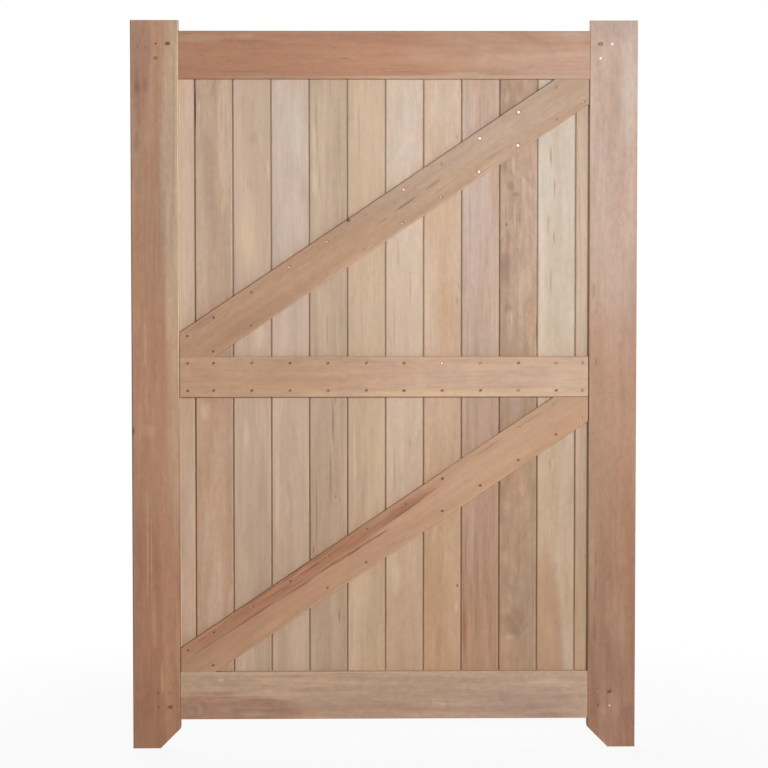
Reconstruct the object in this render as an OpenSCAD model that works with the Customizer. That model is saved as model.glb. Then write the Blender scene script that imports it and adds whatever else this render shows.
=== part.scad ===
// Wooden garden gate: a framed, ledged and braced leaf filled with tongued and
// grooved boards.
//
// X runs from the hanging edge (x = 0) to the closing edge, Z is up from the feet
// of the horns, and the ledge and the braces are on the rear, toward -Y. The origin
// is on the hanging edge, level with the feet, at the middle of the thickness.

/* [Leaf] */
// Width over the two stiles
gate_w = 1247; // [1100:1:1400]
// Height from the feet of the bottom horns to the tops of the top horns
gate_h = 1800; // [1500:1:2100]
// Thickness of the stiles and of the top and bottom rails
frame_t = 45; // [44:1:60]

/* [Frame] */
// Width of each stile
stile_w = 118; // [110:1:140]
// Depth of the top and bottom rails
rail_w = 118; // [105:1:140]
// Length of stile that stands above the top rail
top_horn = 26; // [10:1:60]
// Length of stile that runs on below the bottom rail
bottom_horn = 72; // [60:1:120]
// Legs of the corner cut off the foot of each stile
horn_cut = 50; // [20:1:55]
// Radius of the eased edges
arris_r = 3; // [1:0.5:4]

/* [Ledge and braces] */
// Depth of the middle ledge
ledge_w = 100; // [80:1:120]
// Width of each brace
brace_w = 98; // [80:1:120]
// Height of a brace's heel against the stile
brace_heel = 60; // [50:1:75]
// Thickness of the ledge and of the braces
ledge_t = 21; // [18:0.5:22]
// Gap between a stile and the end of a ledge or brace
ledge_gap = 1.5; // [0.5:0.5:3]

/* [Boards] */
// Thickness of the boards
board_t = 20; // [18:0.5:20]
// Depth of the boards' front below the frame's front
board_setback = 3; // [2:0.5:3]
// Face of the narrow board beside the hanging stile
hanging_cover = 38; // [25:1:60]
// Face of the narrow board beside the closing stile
closing_cover = 33; // [25:1:60]
// Leg of the bevels that make each V joint
vee = 3; // [2:0.5:4]
// Gap left open between neighbouring boards
board_gap = 1; // [0.5:0.25:2]

/* [Joints] */
// Thickness of the rail tenons
tenon_t = 15; // [12:1:16]
// Length of the rail tenons
tenon_l = 90; // [80:1:100]
// Width of the haunch on the inner edge of each tenon
haunch_w = 20; // [16:1:24]
// Diameter of the joint pins
pin_d = 5; // [4:0.5:8]
// Distance from a stile's inner edge to the nearer column of pins
pin_inset = 26; // [20:1:30]
// Spacing of the pins along the tenon
pin_step_x = 29; // [24:1:34]
// Spacing of the pins across the tenon
pin_step_z = 35; // [30:1:40]

/* [Hidden] */
$fn = 48;
CLEAR = 1;                       // how far a cutter runs past the face it opens

// Frame
opening_l = stile_w;             // hanging side of the opening in the frame
opening_r = gate_w - stile_w;    // its closing side
opening_b = bottom_horn + rail_w;           // its bottom, on the bottom rail
opening_t = gate_h - top_horn - rail_w;     // its top, under the top rail
opening_w = opening_r - opening_l;

// Boards
FULL_BOARDS = 10;
BOARDS = FULL_BOARDS + 2;
board_front = frame_t / 2 - board_setback;
board_rear = board_front - board_t;
board_mid = (board_front + board_rear) / 2;
board_cover = (opening_w - hanging_cover - closing_cover) / FULL_BOARDS;
tongue_t = 6;                    // tongue that joins a board to the next
tongue_l = 7;
tongue_play = 0.25;              // room beside a tongue in its groove
tongue_room = 1.5;               // room past its tip
housed_t = 10;                   // edges and ends of the boards housed in the frame
housed_l = 10;
groove_t = housed_t + 2 * tongue_play;
groove_d = housed_l + 2;

// Ledge and braces
ledge_z = (opening_b + opening_t - ledge_w) / 2;
ledge_rear = board_rear - ledge_t;
bay_h = ledge_z - opening_b;     // clear height below the ledge, and above it

// Tenons
tenon_w = rail_w - haunch_w;
mortise_room = 2;                // room past the tenon's end
pin_sunk = 0.5;                  // depth of a pin's ends below the frame's faces

// Colours
STILE_COLOUR = "#b58c6e";
RAIL_COLOUR = "#bd9474";
LEDGE_COLOUR = "#c7a07e";
BOARD_COLOUR = "#cfb394";
PIN_COLOUR = "#9a9a96";

function board_name(n) = str("board_", n < 10 ? "0" : "", n);

// ---- timber sections ----------------------------------------------------------

// Planed section w wide and t thick with eased edges, its corner at the origin
module eased_section(w, t) {
    translate([arris_r, 0]) square([w - 2 * arris_r, t]);
    translate([0, arris_r]) square([w, t - 2 * arris_r]);
    for (x = [arris_r, w - arris_r], y = [arris_r, t - arris_r])
        translate([x, y]) circle(arris_r);
}

// Length l of timber along +X, with its depth w up Z and its thickness t along Y
module timber_along_x(l, w, t) {
    rotate([90, 0, 90]) linear_extrude(l) eased_section(t, w);
}

// ---- joints between the stiles and the rails ------------------------------------

// Four pins or their holes, through the tenon that starts at tenon_z. side is -1
// at the hanging stile and 1 at the closing stile.
module pins(side, tenon_z, l) {
    edge = side < 0 ? opening_l : opening_r;
    for (i = [0, 1], k = [-0.5, 0.5])
        translate([edge + side * (pin_inset + i * pin_step_x), l / 2,
                   tenon_z + tenon_w / 2 + k * pin_step_z])
            rotate([90, 0, 0]) cylinder(d = pin_d, h = l);
}

module corner_pins(side, tenon_z) {
    color(PIN_COLOUR) pins(side, tenon_z, frame_t - 2 * pin_sunk);
}

module pin_holes(side, tenon_z) {
    pins(side, tenon_z, frame_t + 2 * CLEAR);
}

bottom_tenon_z = bottom_horn;
top_tenon_z = opening_t + haunch_w;

// ---- stiles ---------------------------------------------------------------------

// Stile drawn with its outer edge at x = 0 and its inner edge toward +X
module stile_blank() {
    depth = tenon_l + mortise_room;
    difference() {
        translate([0, -frame_t / 2, 0])
            linear_extrude(gate_h) eased_section(stile_w, frame_t);
        // Mortises
        for (z = [bottom_tenon_z, top_tenon_z])
            translate([stile_w - depth, -tenon_t / 2, z])
                cube([depth + CLEAR, tenon_t, tenon_w]);
        // Groove for the boards, which the haunches fill at its ends
        translate([stile_w - groove_d, board_mid - groove_t / 2, opening_b - haunch_w])
            cube([groove_d + CLEAR, groove_t, opening_t - opening_b + 2 * haunch_w]);
        // Corner cut off the foot
        translate([stile_w, 0, 0]) rotate([0, 45, 0])
            cube([horn_cut * sqrt(2), frame_t + 2 * CLEAR, horn_cut * sqrt(2)], center = true);
    }
}

module hanging_stile() {
    color(STILE_COLOUR) difference() {
        stile_blank();
        for (z = [bottom_tenon_z, top_tenon_z]) pin_holes(-1, z);
    }
}

module closing_stile() {
    color(STILE_COLOUR) difference() {
        translate([gate_w, 0, 0]) mirror([1, 0, 0]) stile_blank();
        for (z = [bottom_tenon_z, top_tenon_z]) pin_holes(1, z);
    }
}

// ---- top and bottom rails ---------------------------------------------------------

// Rail with its lower edge at rail_z. The grooved edge that faces the boards is
// the lower one on the top rail and the upper one on the bottom rail.
module rail(rail_z, tenon_z, groove_z, haunch_z) {
    color(RAIL_COLOUR) difference() {
        union() {
            translate([opening_l, -frame_t / 2, rail_z])
                timber_along_x(opening_w, rail_w, frame_t);
            translate([opening_l - tenon_l, -tenon_t / 2, tenon_z])
                cube([opening_w + 2 * tenon_l, tenon_t, tenon_w]);
            translate([opening_l - groove_d, board_mid - groove_t / 2, haunch_z])
                cube([opening_w + 2 * groove_d, groove_t, haunch_w]);
        }
        translate([0, board_mid - groove_t / 2, groove_z])
            cube([gate_w, groove_t, groove_d + CLEAR]);
        for (side = [-1, 1]) pin_holes(side, tenon_z);
    }
}

module top_rail() {
    rail(opening_t, top_tenon_z, opening_t - CLEAR, opening_t);
}

module bottom_rail() {
    rail(bottom_horn, bottom_tenon_z, opening_b - groove_d, opening_b - haunch_w);
}

// ---- ledge and braces ----------------------------------------------------------------

module middle_ledge() {
    color(LEDGE_COLOUR)
        translate([opening_l + ledge_gap, ledge_rear, ledge_z])
            timber_along_x(opening_w - 2 * ledge_gap, ledge_w, ledge_t);
}

// Brace rising from the hanging side across the bay that starts at bay_z. Its
// slope gives it a heel of the same height against each stile.
module brace(bay_z) {
    rise = bay_h - 2 * brace_heel;
    diagonal = norm([opening_w, rise]);
    slope = atan(rise / opening_w) + asin(brace_w / diagonal);
    color(LEDGE_COLOUR) intersection() {
        translate([opening_l, ledge_rear, bay_z + brace_heel])
            rotate([0, -slope, 0])
                translate([-brace_w, 0, -brace_w])
                    timber_along_x(diagonal + 2 * brace_w, brace_w, ledge_t);
        translate([opening_l + ledge_gap, ledge_rear - CLEAR, bay_z])
            cube([opening_w - 2 * ledge_gap, ledge_t + 2 * CLEAR, bay_h]);
    }
}

module upper_brace() {
    brace(ledge_z + ledge_w);
}

module lower_brace() {
    brace(opening_b);
}

// ---- boards ----------------------------------------------------------------------------

// Outlines of a board's edges. The edge toward the closing stile is listed from
// rear to front and the other from front to rear.
function tongued_edge(x) = [
    [x - vee, board_rear],
    [x, board_rear + vee],
    [x, board_mid - tongue_t / 2],
    [x + tongue_l, board_mid - tongue_t / 2],
    [x + tongue_l, board_mid + tongue_t / 2],
    [x, board_mid + tongue_t / 2],
    [x, board_front - vee],
    [x - vee, board_front]];

function grooved_edge(x) =
    let (half = tongue_t / 2 + tongue_play, depth = tongue_l + tongue_room)
    [[x + vee, board_front],
     [x, board_front - vee],
     [x, board_mid + half],
     [x + depth, board_mid + half],
     [x + depth, board_mid - half],
     [x, board_mid - half],
     [x, board_rear + vee],
     [x + vee, board_rear]];

// Edge that is housed in a stile: side is -1 at the hanging stile, 1 at the other
function housed_edge(x, side) = [
    [x, side < 0 ? board_front : board_rear],
    [x, board_mid - side * housed_t / 2],
    [x + side * housed_l, board_mid - side * housed_t / 2],
    [x + side * housed_l, board_mid + side * housed_t / 2],
    [x, board_mid + side * housed_t / 2],
    [x, side < 0 ? board_rear : board_front]];

// Line between board n and board n + 1
function board_line(n) = opening_l + hanging_cover + (n - 1) * board_cover;

module board(n) {
    closing_edge = n == BOARDS
        ? housed_edge(opening_r, 1)
        : tongued_edge(board_line(n) - board_gap / 2);
    hanging_edge = n == 1
        ? housed_edge(opening_l, -1)
        : grooved_edge(board_line(n - 1) + board_gap / 2);
    color(BOARD_COLOUR) {
        translate([0, 0, opening_b]) linear_extrude(opening_t - opening_b)
            polygon(concat(closing_edge, hanging_edge));
        // Ends housed in the rails
        translate([0, 0, opening_b - housed_l])
            linear_extrude(opening_t - opening_b + 2 * housed_l)
                intersection() {
                    polygon(concat(closing_edge, hanging_edge));
                    translate([0, board_mid - housed_t / 2]) square([gate_w, housed_t]);
                }
    }
}

// ---- the gate ----------------------------------------------------------------------------

hanging_stile();
closing_stile();
top_rail();
bottom_rail();
middle_ledge();
upper_brace();
lower_brace();
corner_pins(-1, top_tenon_z);  // top_hanging_pins
corner_pins(1, top_tenon_z);  // top_closing_pins
corner_pins(-1, bottom_tenon_z);  // bottom_hanging_pins
corner_pins(1, bottom_tenon_z);  // bottom_closing_pins
for (n = [1 : BOARDS])
    board(n);
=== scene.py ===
"""Wooden garden gate: finish, fixings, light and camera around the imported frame."""

from math import asin, atan2, cos, hypot, radians, sin, tau

import bmesh
import bpy
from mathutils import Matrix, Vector


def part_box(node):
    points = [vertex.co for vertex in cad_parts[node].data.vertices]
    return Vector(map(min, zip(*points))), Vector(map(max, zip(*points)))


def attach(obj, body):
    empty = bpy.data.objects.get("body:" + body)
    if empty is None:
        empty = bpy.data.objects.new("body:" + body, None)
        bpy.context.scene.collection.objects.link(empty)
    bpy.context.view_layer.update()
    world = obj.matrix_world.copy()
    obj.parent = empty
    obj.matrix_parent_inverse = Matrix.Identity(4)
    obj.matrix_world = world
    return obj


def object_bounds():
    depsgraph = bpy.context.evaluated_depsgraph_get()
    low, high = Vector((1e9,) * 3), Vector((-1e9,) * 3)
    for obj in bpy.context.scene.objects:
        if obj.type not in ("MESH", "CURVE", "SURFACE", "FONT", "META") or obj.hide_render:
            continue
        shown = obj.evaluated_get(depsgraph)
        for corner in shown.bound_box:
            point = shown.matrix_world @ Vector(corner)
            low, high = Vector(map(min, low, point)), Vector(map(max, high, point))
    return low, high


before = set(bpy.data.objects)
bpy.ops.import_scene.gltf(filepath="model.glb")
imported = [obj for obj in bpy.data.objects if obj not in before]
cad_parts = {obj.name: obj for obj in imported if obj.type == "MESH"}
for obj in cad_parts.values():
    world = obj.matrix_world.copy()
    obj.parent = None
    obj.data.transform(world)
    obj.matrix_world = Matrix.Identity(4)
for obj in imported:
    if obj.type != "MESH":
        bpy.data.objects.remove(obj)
cad_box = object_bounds()

MM = 0.001
LOW, HIGH = cad_box
REAR = LOW.y                      # rear face of the frame
UPRIGHT = radians(90)
WHITE = (1, 1, 1, 1)

# ---- sizes read from the frame ---------------------------------------

STILE_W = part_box("hanging_stile")[1].x
OPENING_L = STILE_W
OPENING_R = HIGH.x - STILE_W
BOARDS = ["board_%02d" % n for n in range(1, 13)]
RAILS = ("top_rail", "bottom_rail", "middle_ledge")
BRACES = ("upper_brace", "lower_brace")
HOUSED = 10 * MM                  # boards reach this far into the frame
TONGUE = 7 * MM                   # past the face of a board
BRACE_W = 98 * MM
BRACE_HEEL = 60 * MM              # height of a brace's end against the stile
PIN_R = 2.5 * MM


def brace_slope():
    """Angle of the braces above the horizontal, from their heels and the opening."""
    low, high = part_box("upper_brace")
    run = OPENING_R - OPENING_L
    rise = high.z - low.z - 2 * BRACE_HEEL
    return atan2(rise, run) + asin(BRACE_W / hypot(run, rise))


SLOPE = brace_slope()


def face_span(board):
    """Left and right limits of a board's showing face."""
    low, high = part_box(board)
    left = low.x + (HOUSED if board == BOARDS[0] else 0)
    right = high.x - (HOUSED if board == BOARDS[-1] else TONGUE)
    return left, right


def seat(name):
    """Where the grain of a piece starts, its foot or its left end, its slope and length."""
    low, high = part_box(name)
    if name in RAILS:
        return Vector((low.x, low.y, high.z)), 0, high.x - low.x
    if name in BRACES:
        start = Vector((OPENING_L, low.y, low.z + BRACE_HEEL))
        return start, SLOPE, hypot(high.x - low.x, high.z - low.z)
    return low, UPRIGHT, high.z - low.z


# ---- camera ----------------------------------------------------------

EYE = (0.441, REAR - 7.98, 1.418)
TARGET = Vector((0.6225, REAR, 0.906))
LENS = 151.8
SENSOR = 36


def add_object(name, data):
    """Links a new object to the scene."""
    piece = bpy.data.objects.new(name, data)
    bpy.context.scene.collection.objects.link(piece)
    return piece


def aim(piece, target):
    """Turns a camera or a lamp toward a point."""
    piece.rotation_mode = "QUATERNION"
    piece.rotation_quaternion = (target - piece.location).to_track_quat("-Z", "Y")


def make_camera():
    """Camera square to the rear of the gate, at eye level and well back."""
    data = bpy.data.cameras.new("camera")
    data.sensor_width = SENSOR
    data.lens = LENS
    camera = add_object("camera", data)
    camera.location = EYE
    aim(camera, TARGET)
    bpy.context.scene.camera = camera


# ---- building nodes --------------------------------------------------

def add_node(tree, kind, inputs=None, **settings):
    """A node of a kind, with its settings and with values or links for its inputs."""
    node = tree.nodes.new(kind)
    for name, value in settings.items():
        setattr(node, name, value)
    for key, value in (inputs or {}).items():
        socket = node.inputs[key]
        if isinstance(value, bpy.types.NodeSocket):
            tree.links.new(value, socket)
        else:
            socket.default_value = value
    return node


def calc(tree, operation, a, b=0.0, c=0.0):
    """One Math node on numbers or sockets."""
    return add_node(tree, "ShaderNodeMath", {0: a, 1: b, 2: c}, operation=operation).outputs[0]


def calc_vector(tree, operation, a, b=(0, 0, 0), output="Vector"):
    """One Vector Math node."""
    node = add_node(tree, "ShaderNodeVectorMath", {0: a, 1: b}, operation=operation)
    return node.outputs[output]


def scaled(tree, vector, factor):
    """A vector times a number."""
    node = add_node(tree, "ShaderNodeVectorMath", {0: vector, "Scale": factor},
                    operation="SCALE")
    return node.outputs[0]


def length_of(tree, vector):
    """Length of a vector."""
    return calc_vector(tree, "LENGTH", vector, output="Value")


def ramp(tree, value, start, end, low=0.0, high=1.0):
    """value taken smoothly from low to high as it goes from start to end."""
    return add_node(tree, "ShaderNodeMapRange",
                    {"Value": value, "From Min": start, "From Max": end,
                     "To Min": low, "To Max": high},
                    interpolation_type="SMOOTHSTEP").outputs["Result"]


def mix_colour(tree, factor, a, b, blend="MIX"):
    """Colour a turned toward colour b."""
    node = add_node(tree, "ShaderNodeMix", {0: factor, 6: a, 7: b},
                    data_type="RGBA", blend_type=blend)
    return node.outputs[2]


def noise(tree, vector, detail=2.0, roughness=0.5, output="Fac", swirl=0.0):
    """Noise at unit scale on a vector that is already scaled."""
    return add_node(tree, "ShaderNodeTexNoise",
                    {"Vector": vector, "Scale": 1.0, "Detail": detail, "Roughness": roughness,
                     "Distortion": swirl},
                    noise_dimensions="3D").outputs[output]


def new_group(name, inputs, outputs):
    """An empty node group. inputs and outputs map socket names to Float, Vector or Color."""
    tree = bpy.data.node_groups.new(name, "ShaderNodeTree")
    for way, sockets in (("INPUT", inputs), ("OUTPUT", outputs)):
        for socket, kind in sockets.items():
            tree.interface.new_socket(socket, in_out=way, socket_type="NodeSocket" + kind)
    return tree, tree.nodes.new("NodeGroupInput").outputs, tree.nodes.new("NodeGroupOutput").inputs


def place_group(tree, group, inputs):
    """An instance of a node group in a material."""
    return add_node(tree, "ShaderNodeGroup", inputs, node_tree=group).outputs


def new_material(name):
    """An empty material, its node tree and its place on the object."""
    material = bpy.data.materials.new(name)
    material.use_nodes = True
    tree = material.node_tree
    tree.nodes.clear()
    return material, tree, add_node(tree, "ShaderNodeTexCoord").outputs["Object"]


def put_out(tree, shader, kind="ShaderNodeOutputMaterial"):
    """Sends a shader to the output."""
    tree.links.new(shader, add_node(tree, kind).inputs["Surface"])


def cover(tree, colour, roughness, height, bump, depth, specular=0.25, metal=0.0):
    """The surface itself, with height as bump of a strength and depth."""
    relief = add_node(tree, "ShaderNodeBump",
                      {"Height": height, "Strength": bump, "Distance": depth})
    shader = add_node(tree, "ShaderNodeBsdfPrincipled",
                      {"Base Color": colour, "Metallic": metal, "Roughness": roughness,
                       "Specular IOR Level": specular, "Normal": relief.outputs["Normal"]})
    put_out(tree, shader.outputs["BSDF"])


# ---- timber effects that every piece shares --------------------------

# Noise under each effect: cells a metre across and along the grain, detail, roughness, swirl
FIGURE = {
    "Clouds": (17, 2.0, 3, 0.55, 0),
    "Bands": (58, 3.4, 2, 0.5, 0),
    "Curls": (24, 13, 3, 0.55, 1.4),
    "Mottle": (95, 48, 3, 0.6, 0),
    "Streaks": (150, 4.5, 3, 0.6, 0),
    "Fibres": (700, 9, 3, 0.6, 0),
    "Flecks": (210, 26, 2, 0.5, 0),
    "Pores": (1700, 110, 1, 0.5, 0),
}
SPARSE = {"Flecks": (0.66, 0.76), "Pores": (0.6, 0.72)}      # only where the noise is high
RELIEF = {"Fibres": 0.5, "Rings": 0.25, "Pores": -0.6, "Flecks": -0.4}
DARKENS, ENDS = (0.2, 0.85), (0.9, 1)          # parts of a year's ring
FAINTEST_RING = 0.1
SWAY_CELLS = (7, 2.2)
FIBRE_SWAY = 0.03
HALF = (0.5, 0.5, 0.5)
FLAT = (1, 1, 0)


def make_grain():
    """Growth rings round the pith, and the bands, streaks, curls and flecks along it."""
    tree, given, result = new_group(
        "grain",
        {"Timber": "Vector", "Pith": "Vector", "Seed": "Float", "Ring Width": "Float",
         "Wander": "Float"},
        {"Rings": "Float", "Height": "Float",
         **{name: "Color" if name == "Clouds" else "Float" for name in FIGURE}})
    shift = add_node(tree, "ShaderNodeCombineXYZ",
                     {0: given["Seed"], 1: given["Seed"], 2: given["Seed"]}).outputs[0]
    place = calc_vector(tree, "ADD", given["Timber"], shift)

    def drawn_out(across, along):
        """Coordinates scaled so that noise runs along the grain."""
        return calc_vector(tree, "MULTIPLY", place, (across, across, along))

    # Fibres are never quite straight, so the finer noises sway a little together.
    sway = noise(tree, drawn_out(*SWAY_CELLS), 2, 0.5, "Color")
    sway = calc_vector(tree, "SUBTRACT", sway, HALF)
    place = calc_vector(tree, "ADD", place,
                        calc_vector(tree, "MULTIPLY", sway, (FIBRE_SWAY, FIBRE_SWAY, 0)))

    far_sway = scaled(tree, calc_vector(tree, "MULTIPLY", sway, FLAT), given["Wander"])
    bent = calc_vector(tree, "ADD", given["Pith"], far_sway)
    flat = calc_vector(tree, "MULTIPLY", bent, FLAT)
    age = calc(tree, "DIVIDE", length_of(tree, flat), given["Ring Width"])
    part = calc(tree, "FRACT", age)
    rings = calc(tree, "MULTIPLY", ramp(tree, part, *DARKENS), ramp(tree, part, *ENDS, 1, 0))
    year = add_node(tree, "ShaderNodeTexWhiteNoise", {"W": calc(tree, "FLOOR", age)},
                    noise_dimensions="1D").outputs["Value"]
    faint = ramp(tree, year, 0, 1, FAINTEST_RING, 1)
    made = {"Rings": calc(tree, "MULTIPLY", rings, faint)}

    for name, (across, along, detail, roughness, swirl) in FIGURE.items():
        output = "Color" if name == "Clouds" else "Fac"
        made[name] = noise(tree, drawn_out(across, along), detail, roughness, output, swirl)
        if name in SPARSE:
            made[name] = ramp(tree, made[name], *SPARSE[name])

    height = 0.0
    for name, weight in RELIEF.items():
        height = calc(tree, "MULTIPLY_ADD", made[name], weight, height)
    made["Height"] = height
    for name, socket in made.items():
        tree.links.new(socket, result[name])
    return tree


def make_patch():
    """Mask of one long soft patch, such as a streak, a knot or a strip of sapwood."""
    tree, given, result = new_group(
        "patch",
        {"Timber": "Vector", "Sway": "Color", "Centre": "Vector", "Half Size": "Vector",
         "Ragged": "Float", "Soft": "Float", "Strength": "Float"},
        {"Mask": "Float"})
    place = calc_vector(tree, "SUBTRACT", given["Timber"], given["Centre"])
    place = calc_vector(tree, "DIVIDE", place, given["Half Size"])
    sway = scaled(tree, calc_vector(tree, "SUBTRACT", given["Sway"], HALF), given["Ragged"])
    reach = length_of(tree, calc_vector(tree, "ADD", place, sway))
    inner = calc(tree, "SUBTRACT", 1.0, given["Soft"])
    mask = ramp(tree, reach, 1.0, inner)
    tree.links.new(calc(tree, "MULTIPLY", mask, given["Strength"]), result["Mask"])
    return tree


GRAIN = make_grain()
PATCH = make_patch()


def tone(red, green, blue):
    """A colour given as it is seen, 0 to 255, in the linear values that shaders use."""
    def linear(value):
        value /= 255
        return value / 12.92 if value <= 0.04045 else ((value + 0.055) / 1.055) ** 2.4
    return (linear(red), linear(green), linear(blue), 1.0)


WIDE_MARK = 60                    # a wider mark goes through the piece
THROUGH = 2000
SHALLOW = 14


def mark(colour, across, along, wide, long, strength=0.6, soft=0.8, ragged=0.6, deep=False):
    """A patch of another colour in a piece of timber: a stain, a streak or a knot.

    across is measured from the piece's left or upper edge and along from its foot or
    left end, to the middle of the patch, in millimetres as wide and long are. Wide
    patches and deep ones reach the other face.
    """
    depth = THROUGH if deep or wide > WIDE_MARK else SHALLOW
    return colour, {"Centre": (across * MM, 0, along * MM),
                    "Half Size": (wide / 2 * MM, depth * MM, long / 2 * MM),
                    "Strength": strength, "Soft": soft, "Ragged": ragged}


LOWER, MIDWAY, UPPER = 0.1, 0.5, 0.85          # where the colours lie along a piece
CLOUD_EDGE = (0.38, 0.66)
MOST, NEARLY_ALL = (0.3, 0.7), (0.2, 0.8)      # where most of a noise lies, or more
MARK_SWAY = (45, 45, 9)
FIBRE_SPAN, FIBRE_SHADE = (0.25, 0.75), 0.03
PORE_SHADE, PORE_LIFT = 0.08, 0.01
PLANED = (0.6, 0.72)                           # roughness of planed timber


def timber(name, origin, slope, length, foot, head, second, seed, middle=None,
           pith=(0.05, 0.12), tilt=(0.02, 0.01), ring=7.0, wander=0.06,
           clouds=0.65, tint=0.055, rings=0.045, bands=0.02, streaks=0.07, curls=0.01,
           mottle=0.03, flecks=0.13, marks=()):
    """Planed timber whose grain runs up at a slope from origin.

    foot, middle and head are its colours along its length, and second is the colour of
    its clouds. pith is where the heart of the tree lies, in metres from the origin
    across the face and through the thickness.
    """
    material, tree, where = new_material(name)
    centred = calc_vector(tree, "SUBTRACT", where, tuple(origin))
    turned = add_node(tree, "ShaderNodeMapping",
                      {"Vector": centred, "Rotation": (0, slope - UPRIGHT, 0)},
                      vector_type="POINT").outputs[0]
    to_pith = add_node(tree, "ShaderNodeMapping",
                       {"Vector": turned, "Location": (-pith[0], -pith[1], 0),
                        "Rotation": (tilt[1], tilt[0], 0)}, vector_type="POINT").outputs[0]
    grain = place_group(tree, GRAIN, {"Timber": turned, "Pith": to_pith, "Seed": seed,
                                      "Ring Width": ring * MM, "Wander": wander})

    # Broad colour along the piece; on the boards and stiles the darker foot is partly painted
    # shade, the light falling off toward the bottom
    height = add_node(tree, "ShaderNodeSeparateXYZ", {0: turned}).outputs["Z"]
    steps = [(LOWER, MIDWAY, middle), (MIDWAY, UPPER, head)] if middle else [(LOWER, UPPER, head)]
    colour = foot
    for start, end, next_colour in steps:
        rise = ramp(tree, height, start * length, end * length)
        colour = mix_colour(tree, rise, colour, next_colour)
    cloud = add_node(tree, "ShaderNodeSeparateColor", {0: grain["Clouds"]}).outputs
    colour = mix_colour(tree, ramp(tree, cloud["Red"], *CLOUD_EDGE, 0, clouds), colour, second)
    ragged = noise(tree, calc_vector(tree, "MULTIPLY", turned, MARK_SWAY), 4, 0.6, "Color")
    for spot_colour, values in marks:
        mask = place_group(tree, PATCH, {"Timber": turned, "Sway": ragged, **values})["Mask"]
        colour = mix_colour(tree, mask, colour, spot_colour)

    # Fine grain darkens and lightens about that colour.
    shade = ramp(tree, grain["Streaks"], *MOST, 1 - streaks / 2, 1 + streaks / 2)
    for socket, swing in ((cloud["Green"], tint), (grain["Bands"], bands),
                          (grain["Curls"], curls), (grain["Mottle"], mottle)):
        shade = calc(tree, "MULTIPLY", shade, ramp(tree, socket, *MOST, 1 - swing, 1 + swing))
    for factor in (
            ramp(tree, grain["Fibres"], *FIBRE_SPAN, 1 - FIBRE_SHADE, 1 + FIBRE_SHADE),
            calc(tree, "MULTIPLY_ADD", grain["Rings"], -rings, 1 + rings / 4),
            calc(tree, "MULTIPLY_ADD", grain["Flecks"], -flecks, 1.0),
            calc(tree, "MULTIPLY_ADD", grain["Pores"], -PORE_SHADE, 1 + PORE_LIFT)):
        shade = calc(tree, "MULTIPLY", shade, factor)
    grey = add_node(tree, "ShaderNodeCombineColor", {0: shade, 1: shade, 2: shade}).outputs[0]
    colour = mix_colour(tree, 1.0, colour, grey, "MULTIPLY")
    cover(tree, colour, ramp(tree, grain["Fibres"], *NEARLY_ALL, *PLANED), grain["Height"],
          bump=0.3, depth=0.3 * MM)
    return material


# ---- colours of the timber -------------------------------------------

# Tones that the marks share, from pale to dark
CREAM = tone(214, 190, 162)
PALE_PINK = tone(212, 184, 170)
STRAW = tone(206, 176, 136)
GREY_GREEN = tone(186, 168, 140)
ROSE = tone(194, 154, 134)
MAUVE = tone(180, 152, 144)
TAN = tone(194, 152, 116)
RUSSET = tone(172, 122, 94)
BEIGE_BROWN = tone(172, 142, 118)
GREY_BROWN = tone(150, 124, 104)
RED_BROWN = tone(148, 104, 80)
UMBER = tone(122, 90, 68)
TEAR = tone(122, 76, 54)
# Warmer painted shade for the lower half of the joints
WARM_SHADE = tone(140, 88, 48)
KNOT = tone(92, 66, 50)
# Painted shade of an open gap between boards
GAP_SHADE = tone(44, 34, 27)

# Colours and figure of the frame, the ledge and the braces; the stiles' darker feet are partly
# painted shade of the light falling off toward the bottom
FRAME_LOOKS = {
    "hanging_stile": dict(
        foot=tone(158, 113, 87), middle=tone(168, 124, 98), head=tone(164, 128, 103),
        second=tone(172, 132, 105), seed=0.31, bands=0.045, streaks=0.1, mottle=0.055),
    "closing_stile": dict(
        foot=tone(147, 107, 82), middle=tone(176, 139, 113), head=tone(198, 175, 161),
        second=tone(184, 148, 125), seed=0.77, streaks=0.06, rings=0.035, curls=0.02,
        mottle=0.055),
    "top_rail": dict(
        foot=tone(160, 114, 88), middle=tone(178, 132, 104), head=tone(191, 156, 134),
        second=tone(172, 126, 97), seed=1.13, streaks=0.055, mottle=0.04),
    "bottom_rail": dict(
        foot=tone(178, 146, 120), head=tone(176, 146, 125), second=tone(186, 156, 130), seed=1.49,
        bands=0.045, streaks=0.09, mottle=0.065),
    "middle_ledge": dict(
        foot=tone(181, 144, 115), head=tone(200, 169, 145), second=tone(187, 151, 121), seed=1.87,
        streaks=0.08, bands=0.04, rings=0.04, mottle=0.045),
    "upper_brace": dict(
        foot=tone(167, 130, 102), head=tone(187, 160, 140), second=tone(179, 143, 114), seed=2.21,
        streaks=0.1, bands=0.04, rings=0.04, mottle=0.045),
    "lower_brace": dict(
        foot=tone(172, 131, 102), head=tone(190, 153, 124), second=tone(182, 140, 110), seed=2.63,
        streaks=0.08),
}
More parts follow.
